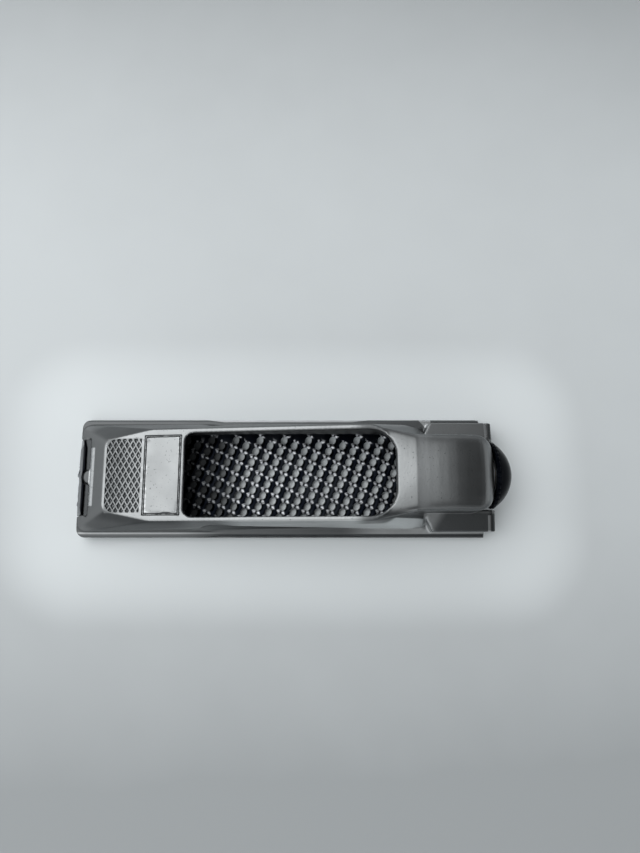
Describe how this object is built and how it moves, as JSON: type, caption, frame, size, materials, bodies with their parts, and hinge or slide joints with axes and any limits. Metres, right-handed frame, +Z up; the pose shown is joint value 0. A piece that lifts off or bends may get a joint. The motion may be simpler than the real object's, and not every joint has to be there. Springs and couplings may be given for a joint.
{
  "type": "drywall rasp",
  "caption": "Palm-sized rasp: cast body with finger pad, chip window and palm end, perforated channel blade hooked round the nose and pulled tight by a domed rear knob.",
  "frame": {"origin": "middle of the overall box in X and Y, at the height of the tooth tips that the tool rests on", "axes": "+X from the nose to the knob, +Z up from the teeth to the deck"},
  "size_m": [0.1496, 0.0412, 0.0276],
  "materials": {
    "grey_paint": "satin grey paint, worn on edges",
    "blade_steel": "bare pressed steel, darkened",
    "black_knob": "glossy black moulding",
    "brass_nut": "bare brass",
    "plated_steel": "zinc plated"
  },
  "bodies": {
    "body": {"body_casting": "grey_paint", "thrust_washer": "plated_steel"},
    "blade": {"rasp_blade": "blade_steel"},
    "knob": {"tension_knob": "black_knob", "knob_nut": "brass_nut"},
    "draw_bolt": {"tension_bolt": "plated_steel", "yoke_plate": "plated_steel"}
  },
  "joints": [
    {"name": "knob_turn", "type": "hinge", "parent": "body", "child": "knob", "pos_m": [0.0677, 0, 0.013], "axis": [1, 0, 0], "range_deg": [0, 1080]},
    {"name": "bolt_slide", "type": "slide", "parent": "body", "child": "draw_bolt", "axis": [1, 0, 0], "range_m": [-0.003, 0]},
    {"name": "blade_release", "type": "hinge", "parent": "body", "child": "blade", "pos_m": [-0.06996, 0, 0.0045], "axis": [0, 1, 0], "range_deg": [0, 12]}
  ],
  "couplings": [
    {"joint": "bolt_slide", "follows": "knob_turn", "m_per_rad": -0.00015915}
  ]
}
